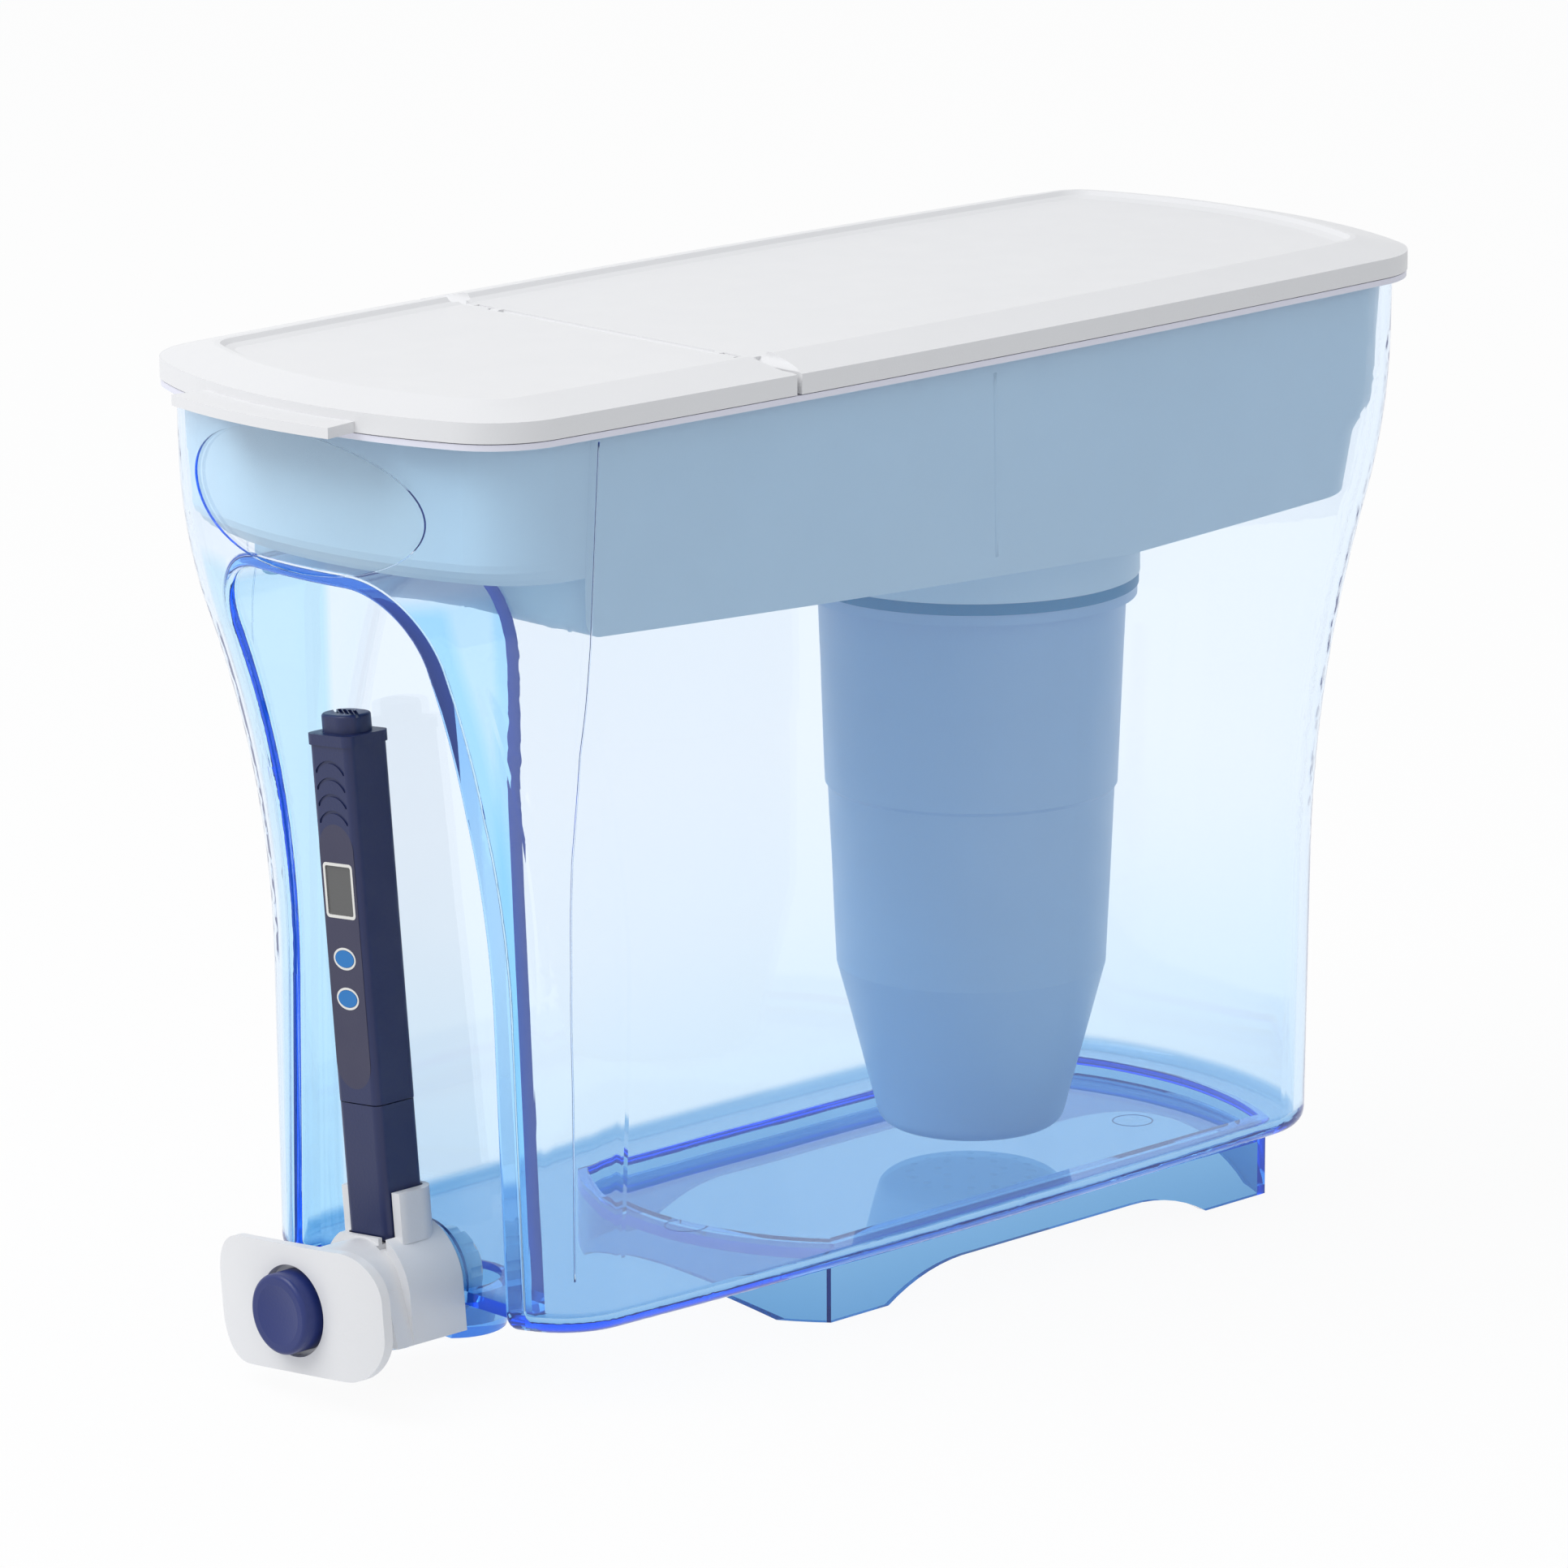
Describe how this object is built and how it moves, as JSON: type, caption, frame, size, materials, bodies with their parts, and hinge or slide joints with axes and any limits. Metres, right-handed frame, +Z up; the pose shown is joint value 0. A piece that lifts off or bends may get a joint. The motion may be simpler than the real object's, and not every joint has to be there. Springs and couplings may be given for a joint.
{
  "type": "gravity water filter with tap",
  "caption": "Narrow counter-top gravity water filter: clear blue tank, white reservoir with a hinged lid, cartridge, push-button tap and a pen meter standing on the tap.",
  "frame": {"origin": "on the ground, below the middle of the whole filter; the middle of the tank lies 5.15 mm behind it, because the lid's finger lip stands out in front", "axes": "+Z up; +X to the right of someone facing the tap; the tap points towards -Y and the filter cartridge is towards +Y"},
  "size_m": [0.147, 0.3822, 0.2678],
  "materials": {
    "tank_blue": "clear blue, polished",
    "reservoir_white": "satin",
    "filter_blue": "satin",
    "teal_rubber": "smooth",
    "foam_white": "fibrous",
    "resin_amber": "granular",
    "carbon_black": "granular",
    "lid_white": "satin",
    "steel": "bright",
    "tap_white": "smooth",
    "navy_plastic": "satin",
    "grey_silicone": "matte",
    "spout_blue": "clear blue",
    "nut_blue": "smooth",
    "label_dark": "satin film",
    "silver_trim": "satin",
    "screen_grey": "gloss",
    "key_cyan": "gloss",
    "board_green": "lacquered"
  },
  "bodies": {
    "tank": {"tank": "tank_blue", "tap_body": "tap_white", "tap_wing_plate": "tap_white", "tap_spout": "spout_blue", "tap_washer_outer": "grey_silicone", "tap_washer_inner": "grey_silicone", "tap_nut": "nut_blue", "tap_stem_seal": "grey_silicone", "tap_spring": "steel", "meter_holder": "tap_white"},
    "reservoir": {"reservoir": "reservoir_white"},
    "filter": {"filter_shell": "filter_blue", "filter_gasket": "teal_rubber", "filter_outlet_pad": "foam_white", "filter_resin": "resin_amber", "filter_carbon": "carbon_black", "filter_foam": "foam_white", "filter_inlet_cap": "filter_blue"},
    "lid_rear": {"lid_rear": "lid_white", "hinge_pin_left": "steel", "hinge_pin_right": "steel"},
    "lid_flap": {"lid_flap": "lid_white"},
    "tap_button": {"tap_button": "navy_plastic", "tap_stem": "tap_white", "tap_valve_seal": "grey_silicone"},
    "meter_cap": {"meter_probe_cap": "navy_plastic"},
    "meter": {"meter_body": "navy_plastic", "meter_label": "label_dark", "meter_screen_frame": "silver_trim", "meter_screen": "screen_grey", "meter_ring_upper": "silver_trim", "meter_ring_lower": "silver_trim", "meter_battery_cap": "navy_plastic", "meter_board": "board_green", "meter_cell_front": "steel", "meter_cell_rear": "steel", "meter_pin_left": "steel", "meter_pin_right": "steel"},
    "meter_key_upper": {"meter_key_upper": "key_cyan"},
    "meter_key_lower": {"meter_key_lower": "key_cyan"}
  },
  "joints": [
    {"name": "reservoir_lift", "type": "slide", "parent": "tank", "child": "reservoir", "axis": [0, 0, 1], "range_m": [0, 0.25]},
    {"name": "filter_turn", "type": "hinge", "parent": "reservoir", "child": "filter", "pos_m": [0, 0.06765, 0.18], "axis": [0, 0, 1], "range_deg": [0, 90]},
    {"name": "lid_lift", "type": "slide", "parent": "reservoir", "child": "lid_rear", "axis": [0, 0, 1], "range_m": [0, 0.06]},
    {"name": "flap_hinge", "type": "hinge", "parent": "lid_rear", "child": "lid_flap", "pos_m": [0, -0.06685, 0.2649], "axis": [-1, 0, 0], "range_deg": [0, 70]},
    {"name": "button_push", "type": "slide", "parent": "tank", "child": "tap_button", "axis": [0, 1, 0], "range_m": [0, 0.004], "stiffness_N_per_m": 300, "springref_m": -0.004, "deforming": ["tap_spring"]},
    {"name": "meter_cap_lift", "type": "slide", "parent": "tank", "child": "meter_cap", "axis": [-0.0958, 0, 0.9954], "range_m": [0, 0.015]},
    {"name": "meter_lift", "type": "slide", "parent": "meter_cap", "child": "meter", "axis": [-0.0958, 0, 0.9954], "range_m": [0, 0.023]},
    {"name": "key_upper_push", "type": "slide", "parent": "meter", "child": "meter_key_upper", "axis": [0, 1, 0], "range_m": [0, 0.0004], "stiffness_N_per_m": 800, "springref_m": -0.0006},
    {"name": "key_lower_push", "type": "slide", "parent": "meter", "child": "meter_key_lower", "axis": [0, 1, 0], "range_m": [0, 0.0004], "stiffness_N_per_m": 800, "springref_m": -0.0006}
  ]
}
